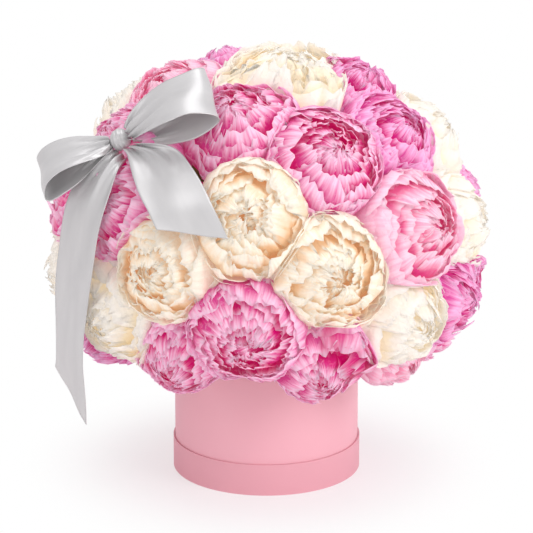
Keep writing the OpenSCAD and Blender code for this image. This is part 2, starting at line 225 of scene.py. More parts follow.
# ---------------------------------------------------------------- Stems and calyxes
# Round green stems run from the foam to each bloom. A calyx of soft round leaves
# cups the bloom's back.
def leafy(name, light, dark, scale, roughness):
    """A green skin, clouded between a light and a dark green."""
    made, tree = finish_in(name)
    where = add(tree, "ShaderNodeTexCoord")
    cloud = add(tree, "ShaderNodeTexNoise", Vector=where.outputs["Object"], Scale=scale, Detail=4.0)
    colour = add(tree, "ShaderNodeMix", {"data_type": "RGBA"}, i0=cloud.outputs["Fac"], i6=dark, i7=light)
    relief = add(tree, "ShaderNodeBump", Strength=0.3, Distance=0.0003, Height=cloud.outputs["Fac"])
    skin = add(tree, "ShaderNodeBsdfPrincipled", Base_Color=colour.outputs[2], Roughness=roughness,
               Normal=relief.outputs[0])
    add(tree, "ShaderNodeOutputMaterial", Surface=skin.outputs[0])
    return made


dress("flower_stems", leafy("stem green", paint(150, 168, 92), paint(96, 124, 58), 160.0, 0.5))
dress("flower_calyxes", leafy("calyx green", paint(158, 180, 104), paint(100, 132, 66), 120.0, 0.6))


# ---------------------------------------------------------------- Peonies
# Each bloom is a ball of thin petals set in a spiral from a closed heart out to
# broad guard petals. Blooms stand shoulder to shoulder over a round dome.
class Field:
    """A number that varies over the petals. Sums on it add Math nodes to its tree."""

    def __init__(self, tree, socket):
        self.tree, self.socket = tree, socket

    def do(self, operation, *others):
        made = self.tree.nodes.new("ShaderNodeMath")
        made.operation = operation
        for slot, value in zip(made.inputs, (self, *others)):
            if isinstance(value, Field):
                self.tree.links.new(value.socket, slot)
            else:
                slot.default_value = value
        return Field(self.tree, made.outputs[0])

    def __add__(self, other):
        return self.do("ADD", other)

    def __sub__(self, other):
        return self.do("SUBTRACT", other)

    def __mul__(self, other):
        return self.do("MULTIPLY", other)

    def __truediv__(self, other):
        return self.do("DIVIDE", other)

    def __pow__(self, other):
        return self.do("POWER", other)

    def ramp(self, low, high, start=0.0, end=1.0):
        made = add(self.tree, "ShaderNodeMapRange", {"interpolation_type": "SMOOTHSTEP"},
                   Value=self.socket, From_Min=low, From_Max=high, To_Min=start, To_Max=end)
        return Field(self.tree, made.outputs[0])


def petal_spiral():
    """Petals on nested cups, turned on by the golden angle, from the heart outwards."""
    golden_angle = 2.39996
    tree = bpy.data.node_groups.new("petal spiral", "GeometryNodeTree")
    sockets = {}
    for name, kind in (("Radius", "Float"), ("Petals", "Int"), ("Heart", "Float"), ("Opening", "Float"),
                       ("Ruffle", "Float"), ("Flare", "Float"), ("Seed", "Int"), ("Petal Paint", "Material")):
        made = tree.interface.new_socket(name, in_out="INPUT", socket_type="NodeSocket" + kind)
        sockets[name] = made.identifier
    tree.interface.new_socket("Blooms", in_out="OUTPUT", socket_type="NodeSocketGeometry")
    came = tree.nodes.new("NodeGroupInput")
    sizes = {name: Field(tree, came.outputs[name]) for name in sockets}

    points = add(tree, "GeometryNodePoints", Count=came.outputs["Petals"])
    index = add(tree, "GeometryNodeInputIndex")
    rows = add(tree, "GeometryNodeStoreNamedAttribute", {"data_type": "FLOAT", "domain": "POINT"},
               Geometry=points.outputs[0], Name="row", Value=index.outputs[0])
    grid = add(tree, "GeometryNodeMeshGrid", Size_X=2.0, Size_Y=1.0, Vertices_X=14, Vertices_Y=7)
    spread = add(tree, "GeometryNodeInstanceOnPoints", Points=rows.outputs[0], Instance=grid.outputs[0])
    flat = add(tree, "GeometryNodeRealizeInstances", Geometry=spread.outputs[0])

    place = add(tree, "ShaderNodeSeparateXYZ", Vector=add(tree, "GeometryNodeInputPosition").outputs[0])
    u = Field(tree, place.outputs["X"])
    v = (Field(tree, place.outputs["Y"]) + 0.5) ** 0.75
    named = add(tree, "GeometryNodeInputNamedAttribute", {"data_type": "FLOAT"}, Name="row")
    row = Field(tree, named.outputs[0])
    t = row / (sizes["Petals"] - 1.0)

    def chance(number):
        made = tree.nodes.new("FunctionNodeRandomValue")
        made.data_type = "FLOAT"
        tree.links.new(row.socket, made.inputs["ID"])
        tree.links.new((sizes["Seed"] + float(number)).socket, made.inputs["Seed"])
        return Field(tree, made.outputs[1])

    def noise(x, y, z, detail):
        point = tree.nodes.new("ShaderNodeCombineXYZ")
        for slot, value in zip(point.inputs, (x, y, z)):
            tree.links.new(value.socket, slot)
        made = add(tree, "ShaderNodeTexNoise", Vector=point.outputs[0], Scale=1.0, Detail=detail)
        return (Field(tree, made.outputs[0]) - 0.5) * 2.0

    side = u.do("ABSOLUTE")
    whirl = row * 7.31 + sizes["Seed"]
    # the cup this petal lies on, and where its tip ends
    heart = sizes["Heart"]
    loose = t.ramp(1.25, 0.35) * sizes["Ruffle"]
    cup = (heart + (t ** 0.58) * (heart * -1.0 + 1.0)) * ((chance(11) - 0.5) * 0.28 * loose + 1.0)
    lift = (t * -1.0 + 1.0) ** 1.3 * 0.36 + (t * -1.0 + 1.0) ** 4.0 * 0.20
    tip = (t ** 1.2) * (sizes["Opening"] - 0.22) + 0.22 + (chance(12) - 0.5) * (loose * 0.40 + 0.14)
    # a petal's foot lies round at the bloom's back, this far from its axis in radians
    foot = 2.80
    # the rim is rounded, notched and finely toothed
    notch = noise(u * 2.8 + whirl, whirl * 0.37, t, 2.0) * sizes["Ruffle"] * t.ramp(0.4, 0.9, 0.12, 0.05)
    teeth = noise(u * 8.0 + whirl, whirl * 0.61, t, 0.0) * sizes["Ruffle"] * 0.07
    reach = v * ((side ** 3.0) * -0.16 + 1.0 - notch * v.ramp(0.4, 1.0) - teeth * v.ramp(0.8, 1.0))
    theta = reach * (tip - foot) + foot
    # widest two thirds of the way up
    width = v.ramp(0.0, 0.55, 0.35, 1.0) * v.ramp(0.72, 1.0, 1.0, 0.86)
    width = width * ((t * 0.16 + 0.50) + (chance(13) - 0.5) * 0.22)
    phi = row * golden_angle + (chance(14) - 0.5) * 0.7 + u * width / (theta.do("SINE") * 0.55 + 0.45)
    # waves that grow towards the rim, a tucked side and a rim that turns out
    wave = noise(u * 1.5 + whirl, v * 1.8, whirl * 0.7, 1.0) * 0.07
    frill = noise(u * 3.6 + whirl, v * 2.2, whirl * 0.9, 2.0) * 0.15 * sizes["Ruffle"] * v.ramp(0.45, 1.0)
    curl = (chance(16) - 0.40) * 0.30 + sizes["Flare"] * t
    bent = (wave + frill) * v.ramp(0.25, 1.0) + u * 0.045 + (reach ** 6.0) * curl
    far = cup * (bent + 1.0)
    # every petal is rooted in the middle of the bloom's back
    root = (v * -2.8 + 1.0).do("MAXIMUM", 0.0) ** 2.0
    out = (far * theta.do("SINE")) * (root * -0.75 + 1.0)
    up = far * theta.do("COSINE") + lift
    up = up + (up * -1.0 - 0.66) * root
    at = tree.nodes.new("ShaderNodeCombineXYZ")
    # the inner petals crowd round several middles
    stray = (t * -1.0 + 1.0) ** 0.6 * sizes["Ruffle"] * 0.34 * v
    aside = (chance(17) - 0.5) * stray, (chance(18) - 0.5) * stray
    spots = out * phi.do("COSINE") + aside[0], out * phi.do("SINE") + aside[1], up
    for slot, value in zip(at.inputs, spots):
        tree.links.new((value * sizes["Radius"]).socket, slot)

    marks = tree.nodes.new("ShaderNodeCombineXYZ")
    for slot, value in zip(marks.inputs, (t, v, u)):
        tree.links.new(value.socket, slot)
    marked = add(tree, "GeometryNodeStoreNamedAttribute", {"data_type": "FLOAT_VECTOR", "domain": "POINT"},
                 Geometry=flat.outputs[0], Name="petal", Value=marks.outputs[0])
    luck = add(tree, "GeometryNodeStoreNamedAttribute", {"data_type": "FLOAT", "domain": "POINT"},
               Geometry=marked.outputs[0], Name="luck", Value=chance(15).socket)
    moved = add(tree, "GeometryNodeSetPosition", Geometry=luck.outputs[0], Position=at.outputs[0])
    smooth = add(tree, "GeometryNodeSetShadeSmooth", Geometry=moved.outputs[0])
    solid = add(tree, "GeometryNodeRealizeInstances", Geometry=smooth.outputs[0])
    painted = add(tree, "GeometryNodeSetMaterial", Geometry=solid.outputs[0],
                  Material=came.outputs["Petal Paint"])
    add(tree, "NodeGroupOutput", Blooms=painted.outputs[0])
    return tree, sockets


def petal_veins():
    """Fine veins up a petal, its crinkles, and where a point lies on it and in its bloom."""
    group = bpy.data.node_groups.new("petal veins", "ShaderNodeTree")
    group.interface.new_socket("Vein Count", in_out="INPUT", socket_type="NodeSocketFloat")
    for name in ("Vein", "Up", "Row", "Luck", "Depth", "Crinkle"):
        group.interface.new_socket(name, in_out="OUTPUT", socket_type="NodeSocketFloat")
    came = group.nodes.new("NodeGroupInput")
    marks = add(group, "ShaderNodeAttribute", {"attribute_name": "petal"})
    luck = add(group, "ShaderNodeAttribute", {"attribute_name": "luck"})
    depth = add(group, "ShaderNodeAttribute", {"attribute_name": "depth"})
    split = add(group, "ShaderNodeSeparateXYZ", Vector=marks.outputs["Vector"])
    across = add(group, "ShaderNodeMath", {"operation": "MULTIPLY"},
                 i0=split.outputs["Z"], i1=came.outputs["Vein Count"])
    point = add(group, "ShaderNodeCombineXYZ",
                X=across.outputs[0], Y=split.outputs["Y"], Z=split.outputs["X"])
    shifted = add(group, "ShaderNodeVectorMath", {"operation": "MULTIPLY"},
                  i0=point.outputs[0], i1=(1, 2.2, 90))
    veins = add(group, "ShaderNodeTexNoise", Vector=shifted.outputs[0], Scale=1.0, Detail=3.0)
    # crinkles a few millimetres across, shifted so that no two petals share them
    where = add(group, "ShaderNodeTexCoord")
    shift = add(group, "ShaderNodeMath", {"operation": "MULTIPLY"}, i0=luck.outputs["Fac"], i1=90.0)
    spread = add(group, "ShaderNodeVectorMath", {"operation": "MULTIPLY_ADD"}, i0=where.outputs["Object"],
                 i1=(200, 200, 200), i2=shift.outputs[0])
    crinkle = add(group, "ShaderNodeTexNoise", Vector=spread.outputs[0], Scale=1.0, Detail=3.0,
                  Distortion=0.5)
    add(group, "NodeGroupOutput", Vein=veins.outputs[0], Up=split.outputs["Y"], Row=split.outputs["X"],
        Luck=luck.outputs["Fac"], Depth=depth.outputs["Fac"], Crinkle=crinkle.outputs["Fac"])
    return group


veins = petal_veins()


def petal_paint(name, fold_shade, body, tip, heart, guard, rim_glow, glow):
    """A petal with its own body colour and a paler rim that is partly its own paler edge and partly painted
    highlight, and painted shade in a deep colour where other petals cover it.
    The heart's colour warms the inner petals and the guard's takes over the outer ones, and the petal glows
    with its own colour as painted light."""
    made, tree = finish_in(name)
    mark = add(tree, "ShaderNodeGroup", {"node_tree": veins}, Vein_Count=8.0)
    wobble = add(tree, "ShaderNodeMapRange", Value=mark.outputs["Vein"], To_Min=-0.25, To_Max=0.25)
    climb = add(tree, "ShaderNodeMath", {"operation": "ADD"}, i0=mark.outputs["Up"], i1=wobble.outputs[0])
    # the vein noise makes the edge of the painted fold shade uneven
    shade_jitter = add(tree, "ShaderNodeMapRange", Value=mark.outputs["Vein"], To_Min=-0.03, To_Max=0.03)
    sunk = add(tree, "ShaderNodeMath", {"operation": "ADD"}, i0=mark.outputs["Depth"], i1=shade_jitter.outputs[0])
    # the paler rim towards the tip colour is partly the petal's own paler edge and partly painted highlight
    rim = add(tree, "ShaderNodeMapRange", {"interpolation_type": "SMOOTHSTEP"}, Value=climb.outputs[0],
              From_Min=0.74, From_Max=1.02)
    inner = add(tree, "ShaderNodeMapRange", {"interpolation_type": "SMOOTHSTEP"}, Value=mark.outputs["Row"],
                From_Min=0.45, From_Max=0.05, To_Max=0.4)
    warm = add(tree, "ShaderNodeMix", {"data_type": "RGBA", "blend_type": "MULTIPLY"}, i0=inner.outputs[0],
               i6=body, i7=heart)
    outer = add(tree, "ShaderNodeMapRange", {"interpolation_type": "SMOOTHSTEP"}, Value=mark.outputs["Row"],
                From_Min=0.62, From_Max=0.86, To_Max=0.85)
    cool = add(tree, "ShaderNodeMix", {"data_type": "RGBA"},
               i0=outer.outputs[0], i6=warm.outputs[2], i7=guard)
    # painted highlight: pale flecks of the tip colour where the crinkles rise, joined with the paler rim
    crinkle_highlight = add(tree, "ShaderNodeMapRange", {"interpolation_type": "SMOOTHSTEP"},
                Value=mark.outputs["Crinkle"], From_Min=0.50, From_Max=0.70, To_Max=0.45)
    pale = add(tree, "ShaderNodeMath", {"operation": "MAXIMUM"}, i0=rim.outputs[0], i1=crinkle_highlight.outputs[0])
    high = add(tree, "ShaderNodeMix", {"data_type": "RGBA"}, i0=pale.outputs[0], i6=cool.outputs[2], i7=tip)
    # painted shade: the parts that other petals cover take the deep fold colour, the rims least of all
    foot = add(tree, "ShaderNodeMapRange", {"interpolation_type": "SMOOTHSTEP"}, Value=sunk.outputs[0],
               From_Min=0.10, From_Max=0.25, To_Max=0.97)
    bare = add(tree, "ShaderNodeMapRange", Value=rim.outputs[0], To_Min=1.0, To_Max=0.75)
    shade = add(tree, "ShaderNodeMapRange", Value=mark.outputs["Luck"], To_Min=0.75, To_Max=1.0)
    kept = add(tree, "ShaderNodeMath", {"operation": "MULTIPLY"}, i0=foot.outputs[0], i1=bare.outputs[0])
    fold_shade_share = add(tree, "ShaderNodeMath", {"operation": "MULTIPLY"}, i0=kept.outputs[0], i1=shade.outputs[0])
    own = add(tree, "ShaderNodeMix", {"data_type": "RGBA"}, i0=fold_shade_share.outputs[0], i6=high.outputs[2], i7=fold_shade)
    creased = add(tree, "ShaderNodeBump", Strength=0.55, Distance=0.0020, Height=mark.outputs["Crinkle"])
    relief = add(tree, "ShaderNodeBump", Strength=0.5, Distance=0.0005, Height=mark.outputs["Vein"],
                 Normal=creased.outputs[0])
    # painted light: the petal glows with its own colour, faintly at the rims and most in the covered folds,
    # standing in for light passed through petal after petal
    painted_glow_share = add(tree, "ShaderNodeMapRange", Value=fold_shade_share.outputs[0], To_Min=rim_glow, To_Max=glow)
    painted_glow = add(tree, "ShaderNodeMix", {"data_type": "RGBA"},
                 i0=painted_glow_share.outputs[0], i6=paint(0, 0, 0), i7=own.outputs[2])
    skin = add(tree, "ShaderNodeBsdfPrincipled", Base_Color=own.outputs[2], Roughness=0.55,
               Normal=relief.outputs[0], Sheen_Weight=0.05, Specular_IOR_Level=0.25,
               Emission_Color=painted_glow.outputs[2], Emission_Strength=1.0)
    made.cycles.emission_sampling = "NONE"
    through = add(tree, "ShaderNodeBsdfTranslucent", Color=own.outputs[2], Normal=relief.outputs[0])
    thin = add(tree, "ShaderNodeMixShader", i0=0.42, i1=skin.outputs[0], i2=through.outputs[0])
    add(tree, "ShaderNodeOutputMaterial", Surface=thin.outputs[0])
    return made


# A variety's petal count, heart share, opening, ruffle and flare, then its colours for the painted shade
# in the deep folds, the body, the rims (partly painted highlight), the heart and the guard petals, and the
# painted glow of its rims and of its folds
varieties = {
    "white": (108, 0.12, 1.50, 1.0, 0.02, petal_paint(
        "white petal",
        paint(249, 239, 218), paint(249, 244, 235), paint(250, 247, 242),
        paint(249, 244, 234), paint(249, 240, 233), 0.14, 0.23)),
    "cream": (110, 0.12, 1.45, 1.0, 0.03, petal_paint(
        "cream petal",
        paint(240, 209, 168), paint(248, 234, 213), paint(251, 247, 238),
        paint(250, 240, 221), paint(248, 232, 224), 0.15, 0.24)),
    "pink": (112, 0.12, 1.45, 1.15, 0.03, petal_paint(
        "pink petal",
        paint(214, 0, 124), paint(231, 82, 164), paint(255, 224, 242),
        paint(243, 160, 206), paint(238, 128, 193), 0.12, 0.42)),
    "hot": (112, 0.12, 1.50, 1.3, 0.03, petal_paint(
        "hot pink petal",
        paint(212, 0, 130), paint(228, 66, 164), paint(254, 208, 240),
        paint(242, 152, 210), paint(235, 108, 194), 0.12, 0.42)),
    "pale": (98, 0.12, 1.35, 0.9, 0.02, petal_paint(
        "pale pink petal",
        paint(226, 66, 146), paint(246, 164, 197), paint(255, 228, 240),
        paint(246, 190, 216), paint(243, 192, 216), 0.13, 0.33)),
}

# The planting plan: azimuth round the dome, elevation, variety and radius in mm
small, medium, full, wide = 44, 50, 54, 57
plan = {
    "crown": (150, 77, "white", wide + 2),
    "upper_front": (-19, 61, "pink", full),
    "upper_left": (-100, 61, "pale", medium),
    "upper_back_left": (-158, 59, "hot", medium),
    "upper_right": (108, 61, "hot", medium),
    "shoulder_front": (25, 46, "pink", full),
    "shoulder_front_right": (69, 46, "hot", medium),
    "shoulder_right": (101, 35, "white", full),
    "shoulder_back_right": (148, 43, "pale", wide),
    "shoulder_back": (-164, 37, "pink", wide),
    "shoulder_back_left": (-121, 39, "white", full),
    "shoulder_left": (-78, 42, "pink", small),
    "face_centre": (-5, 26, "cream", wide),
    "face_left": (-55, 26, "pink", full),
    "face_right": (51, 17, "pale", wide),
    "side_left": (-89, 18, "pink", medium),
    "waist_front_right": (18, 8, "cream", full),
    "waist_front_left": (-31, 8, "cream", medium),
    "waist_right": (80, 9, "white", medium),
    "waist_side_right": (106, 8, "hot", medium),
    "waist_back_right": (141, 8, "cream", wide),
    "waist_back": (177, 8, "hot", wide),
    "waist_back_left": (-148, 8, "pale", wide),
    "waist_side_left": (-114, 8, "pink", full),
    "waist_left": (-85, -10, "white", medium),
    "lower_front": (-6, -12, "pink", full),
    "lower_front_right": (47, -16, "white", medium),
    "lower_front_left": (-52, -16, "white", medium),
    "lower_right": (75, -16, "hot", medium),
    "lower_side_right": (114, -16, "white", wide),
    "lower_back_right": (152, -16, "pink", wide),
    "lower_back": (-170, -16, "white", wide),
    "lower_back_left": (-132, -16, "hot", wide),
    "skirt_front_left": (-30, -28, "pink", small),
    "skirt_front_right": (17, -31, "pink", small),
    "skirt_right": (51, -33, "pale", small - 2),
    "skirt_side_right": (92, -33, "pink", medium),
    "skirt_back_right": (131, -34, "hot", medium),
    "skirt_back": (172, -33, "pale", medium),
    "skirt_back_left": (-149, -34, "white", medium),
    "skirt_side_left": (-108, -33, "pink", medium),
    "skirt_left": (-75, -31, "hot", small),
}
dome_r, dome_h, dome_z = 0.197, 0.166, 0.2583
bloom_gap = 0.0008
petal_thickness = 0.0003
# How far a bloom is turned from straight out towards the front
leans = {"crown": 0.60, "upper_left": 0.35, "upper_right": 0.35, "upper_back_left": 0.3,
         "shoulder_right": 0.15}
# The top bloom is spread flat by its weight, and its outer petals and those of two
# more lie this far over their neighbours
crown_height = 0.76
laps = {"crown": 0.024, "face_centre": 0.004, "shoulder_front": 0.003}
# The bow's right loop lies on this bloom: which way from its centre, and how far
under_loop = {"upper_front": [(np.array((-0.608, -0.709, 0.357)), 0.041)]}
# Blooms whose balls come this near press on each other. Between two neighbours the
# petals crowd up past the ball, more so the more nearly they face a neighbour.
pressing_share = 1.12
ball_slack, crowd_slack = 1.02, 0.24
crowd_from, crowd_to = 0.45, 0.80
# Petals flatten against a neighbour over this depth, some further out than others
petal_give, petal_scatter = 0.006, 0.014
middling_luck = 0.45
# A bloom's petals round off over the last share of its size
soft_share = 0.1
# Where the blooms leave a hollow between them, petals reach in: azimuth, elevation
# and how far in the blooms that don't go all the way reach
hollows = [
    (-68, 4, {}),
    (92, -2, {}),
    (34, -11, {"lower_front": 0.4, "face_right": 0.1, "waist_front_right": 0.6, "lower_front_right": 0.7}),
    (38, 70, {"crown": 1.3, "upper_front": 0.5, "shoulder_front": 0.4, "shoulder_front_right": 0.45,
              "upper_right": 0.2}),
    (-25, 74, {"upper_front": 0.8}),
    (-52, 56, {"face_left": 0.7}),
]
hollow_lift, hollow_slack = 1.05, 1.08
hollow_reach = 0.045
hollow_from, hollow_to = 0.60, 0.94


def unit(vector):
    vector = np.asarray(vector, float)
    return vector / np.linalg.norm(vector)


def bloom_centre(row):
    """A bloom's centre, from the middle of the dome."""
    azimuth, elevation = math.radians(row[0]), math.radians(row[1])
    return np.array((dome_r * math.cos(elevation) * math.sin(azimuth),
                     -dome_r * math.cos(elevation) * math.cos(azimuth),
                     dome_h * math.sin(elevation)))


def bloom_axes(name, row):
    """Two directions across a bloom and the way it faces, as the rows of a matrix."""
    z = unit(bloom_centre(row)) + (0, -leans.get(name, 0), 0)
    z /= np.linalg.norm(z)
    tilt, swing = math.acos(z[2]), math.atan2(z[1], z[0])
    x = np.array((math.cos(tilt) * math.cos(swing), math.cos(tilt) * math.sin(swing), -math.sin(tilt)))
    return np.array((x, np.cross(z, x), z))


def neighbours(name, row):
    """The way to each bloom that presses on this one, and how far out they meet."""
    centre, radius = bloom_centre(row), row[3] / 1000
    found = []
    for other_name, other in plan.items():
        way = bloom_centre(other) - centre
        apart = np.linalg.norm(way)
        both = radius + other[3] / 1000
        if other_name != name and apart < both * pressing_share:
            found.append((way / apart, apart * radius / both - bloom_gap / 2 - petal_thickness))
    return found


def sizes_of(place):
    """Each point's distance from the bloom's centre, as a column."""
    return np.linalg.norm(place, axis=1, keepdims=True)


def crowded(name, row, place, luck):
    """A bloom's petals as they give way to its neighbours and fill the hollows."""
    centre, radius = bloom_centre(row), row[3] / 1000
    pressing = neighbours(name, row)
    size = sizes_of(place)
    near = np.max([place @ way for way, stop in pressing], axis=0)[:, None] / size
    crowd = np.clip((near - crowd_from) / (crowd_to - crowd_from), 0, 1)
    place = place * (1 + crowd_slack * crowd * outer_share(size, radius))
    size = sizes_of(place)
    limit = radius * (ball_slack + crowd_slack * crowd)
    for hollow in hollows:
        way = bloom_centre(hollow) * hollow_lift - centre
        far = np.linalg.norm(way)
        if radius < far < radius + hollow_reach:
            facing = place @ (way / far) / size[:, 0]
            toward = np.clip((facing - hollow_from) / (hollow_to - hollow_from), 0, 1)[:, None]
            toward = toward * hollow[2].get(name, 1) * outer_share(size, radius)
            place = place * (1 + toward * (far / radius - 1))
            limit = np.maximum(limit, radius * (1 + toward * (far / radius * hollow_slack - 1)))
    size = sizes_of(place)
    over = size / limit - (1 - soft_share)
    place = place * np.where(over > 0, limit * (1 - soft_share * np.exp(-over / soft_share)) / size, 1)
    for way, stop in pressing + under_loop.get(name, []):
        stop = stop + laps.get(name, 0) + (luck - middling_luck) * petal_scatter
        reach = place @ way
        over = np.maximum(reach - (stop - petal_give), 0)
        pressed = np.where(over > 0, stop - petal_give * np.exp(-over / petal_give), reach)
        place = place + np.outer(pressed - reach, way)
    return place


def outer_share(size, radius):
    """0 within the inner three fifths of a bloom's radius, rising to 1 at its outside."""
    return np.clip(size / radius * 2.5 - 1.5, 0, 1)


def buried(place, axes, radius):
    """How far each point lies under the petals over it, as a share of the radius.
    The outermost points are kept in cells that each cover as much of the ball."""
    cell_size, middle, last = 0.10, 24, 46
    size = np.linalg.norm(place, axis=1)
    facing = place @ axes.T / size[:, None]
    flat = facing[:, :2] * np.sqrt(2 / (1 + np.clip(facing[:, 2:], -0.98, 1)))
    cell = np.clip((flat / cell_size + middle).astype(int), 1, last)
    cover = np.zeros((last + 2, last + 2))
    np.maximum.at(cover, (cell[:, 0], cell[:, 1]), size)
    around = [np.roll(cover, (i, j), (0, 1)) for i in (-1, 0, 1) for j in (-1, 0, 1)]
    cover = np.sort(around, axis=0)[-3:].mean(axis=0)
    return np.clip((cover[cell[:, 0], cell[:, 1]] - size) / radius, 0, 1)


spiral, spiral_sockets = petal_spiral()
for number, (name, row) in enumerate(plan.items()):
    petals, heart, opening, ruffle, flare, finish = varieties[row[2]]
    radius = row[3] / 1000
    bloom = bpy.data.objects.new("bloom_" + name, bpy.data.meshes.new("bloom_" + name))
    bpy.context.scene.collection.objects.link(bloom)
    grow = bloom.modifiers.new("petals", "NODES")
    grow.node_group = spiral
    for key, value in (("Radius", radius), ("Petals", petals), ("Heart", heart), ("Opening", opening),
                       ("Ruffle", ruffle), ("Flare", flare), ("Seed", 100 * number), ("Petal Paint", finish)):
        grow[spiral_sockets[key]] = value
    grown = bpy.data.meshes.new_from_object(bloom.evaluated_get(bpy.context.evaluated_depsgraph_get()))
    bloom.modifiers.remove(grow)
    bloom.data = grown

    # turn the bloom to face outwards, and let it give where its neighbours press
    place = np.empty(len(grown.vertices) * 3)
    grown.vertices.foreach_get("co", place)
    luck = np.empty(len(grown.vertices))
    grown.attributes["luck"].data.foreach_get("value", luck)
    axes = bloom_axes(name, row)
    place = place.reshape(-1, 3) @ axes
    if name == "crown":
        place[:, 2] *= crown_height
    place = crowded(name, row, place, luck)
    # the depth under covering petals sets where the petals take painted shade and painted glow
    grown.attributes.new("depth", "FLOAT", "POINT").data.foreach_set("value", buried(place, axes, radius))

    place += bloom_centre(row) + (0, 0, dome_z)
    grown.vertices.foreach_set("co", place.ravel())
    grown.update()
    shell = bloom.modifiers.new("petal thickness", "SOLIDIFY")
    shell.thickness = petal_thickness
    shell.offset = 0
    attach(bloom, "arrangement")
    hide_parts("peony_" + name)


# ---------------------------------------------------------------- Ribbon
# A satin bow tied on a wooden pick: two loops and two cut tails of one wide
# ribbon, gathered in the middle under a tight wrapped knot.
outside = np.array((dome_r, dome_r, dome_h)) + 0.8 * full / 1000
ribbon_w, ribbon_thickness = 0.065, 0.0005
knot_at = np.array((-0.636, -0.411, 0.669)) * outside
knot_axis = np.array((0.87, -0.08, 0.49))
knot_r, knot_len = 0.013, 0.022
# Where the ribbon is gathered its folds are this deep, and elsewhere it rolls a little
fold_depth, roll_depth = 0.0052, 0.0009
cells_across, cells_per_span = 32, 10


def smoothed(stations, steps):
    """Points of a smooth curve through the stations, with steps to each span."""
    rows = []
    for i in range(len(stations) - 1):
        a, b, c, d = (stations[min(max(k, 0), len(stations) - 1)] for k in (i - 1, i, i + 1, i + 2))
        for k in range(steps):
            s = k / steps
            rows.append((2 * b + (c - a) * s + (2 * a - 5 * b + 4 * c - d) * s * s
                         + (3 * b - a - 3 * c + d) * s ** 3) / 2)
    rows.append(stations[-1])
    return np.array(rows)


def ribbon_piece(name, stations, folds, lay):
    """A strip along stations of place, direction across and width share. Where it
    is narrower than the ribbon it is gathered into folds."""
    rows = smoothed(np.array(stations, float), cells_per_span)
    centre, width = rows[:, :3], rows[:, 6]
    side = np.array([unit(r) for r in rows[:, 3:6]])
    along = np.gradient(centre, axis=0)
    along /= np.linalg.norm(along, axis=1, keepdims=True)
    up = np.cross(along, side)
    up /= np.linalg.norm(up, axis=1, keepdims=True)
    length = np.concatenate(([0], np.cumsum(np.linalg.norm(np.diff(centre, axis=0), axis=1))))
    slack = np.clip(1 - width / ribbon_w, 0, 1)
    depth = fold_depth * slack ** 0.8
    verts, uvs = [], []
    for s in np.linspace(-0.5, 0.5, cells_across + 1):
        wave = np.sin(2 * np.pi * folds * s + 1.1 + 0.5 * np.sin(9 * length + lay))
        wave += 0.35 * np.sin(2 * np.pi * (folds * 2 + 1) * s + lay)
        roll = roll_depth * np.sin(2 * np.pi * (s * 1.3 + 7 * length) + lay) * (1 - slack)
        verts.append(centre + side * (width * s)[:, None] + up * (depth * wave + roll)[:, None])
        uvs.append(np.stack([np.full(len(length), s * ribbon_w), length], 1))
    verts = np.array(verts).transpose(1, 0, 2)
    uvs = np.array(uvs).transpose(1, 0, 2)
    n, m = verts.shape[:2]
    faces = [(i * m + j, i * m + j + 1, (i + 1) * m + j + 1, (i + 1) * m + j)
             for i in range(n - 1) for j in range(m - 1)]
    mesh = bpy.data.meshes.new(name)
    mesh.from_pydata((verts.reshape(-1, 3) + (0, 0, dome_z)).tolist(), [], faces)
    layer = mesh.uv_layers.new(name="cloth")
    flat_uv = uvs.reshape(-1, 2)
    for loop in mesh.loops:
        layer.data[loop.index].uv = flat_uv[loop.vertex_index]
    mesh.polygons.foreach_set("use_smooth", [True] * len(mesh.polygons))
    mesh.materials.append(satin)
    piece = bpy.data.objects.new(name, mesh)
    bpy.context.scene.collection.objects.link(piece)
    edge = piece.modifiers.new("ribbon thickness", "SOLIDIFY")
    edge.thickness = ribbon_thickness
    edge.offset = 0
    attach(piece, "arrangement")
    return piece, float(length[-1])


satin, tree = finish_in("silver satin")
place_on = add(tree, "ShaderNodeUVMap", {"uv_map": "cloth"})
stretched = add(tree, "ShaderNodeVectorMath", {"operation": "MULTIPLY"},
                i0=place_on.outputs[0], i1=(5200, 900, 1))
threads = add(tree, "ShaderNodeTexNoise", Vector=stretched.outputs[0], Scale=1.0, Detail=2.0)
broad = add(tree, "ShaderNodeVectorMath", {"operation": "MULTIPLY"},
            i0=place_on.outputs[0], i1=(60, 14, 1))
sweep = add(tree, "ShaderNodeTexNoise", Vector=broad.outputs[0], Scale=1.0, Detail=2.0)
colour = add(tree, "ShaderNodeMix", {"data_type": "RGBA"}, i0=sweep.outputs["Fac"],
             i6=paint(184, 183, 184), i7=paint(206, 205, 205))
rough = add(tree, "ShaderNodeMapRange", Value=sweep.outputs["Fac"], To_Min=0.36, To_Max=0.48)
weave = add(tree, "ShaderNodeBump", Strength=0.15, Distance=0.0001, Height=threads.outputs["Fac"])
skin = add(tree, "ShaderNodeBsdfPrincipled", Base_Color=colour.outputs[2], Roughness=rough.outputs[0],
           Normal=weave.outputs[0], Sheen_Weight=0.2, Metallic=0.35, Anisotropic=0.4)
add(tree, "ShaderNodeOutputMaterial", Surface=skin.outputs[0])


def loop_stations(rows, way, across):
    """Loop stations, from rows of distance along and height off the flowers in mm,
    width in percent and tilt in degrees."""
    way = unit(way)
    across = unit(np.array(across) - np.dot(across, way) * way)
    off = np.cross(way, across)
    off = off if off[2] > 0 else -off
    made = []
    for far, height, width, tilt in rows:
        place = knot_at + (knot_len / 2 + far / 1000) * way + height / 1000 * off
        lean = across * math.cos(math.radians(tilt)) + off * math.sin(math.radians(tilt))
        made.append((*place, *lean, ribbon_w * width / 100))
    return made


def tail_stations(rows):
    """Tail stations, from a place in percent of the outside, a direction and a width."""
    return [(*(np.array(place) / 100 * outside), *unit(side), ribbon_w * width / 100)
            for place, side, width in rows]


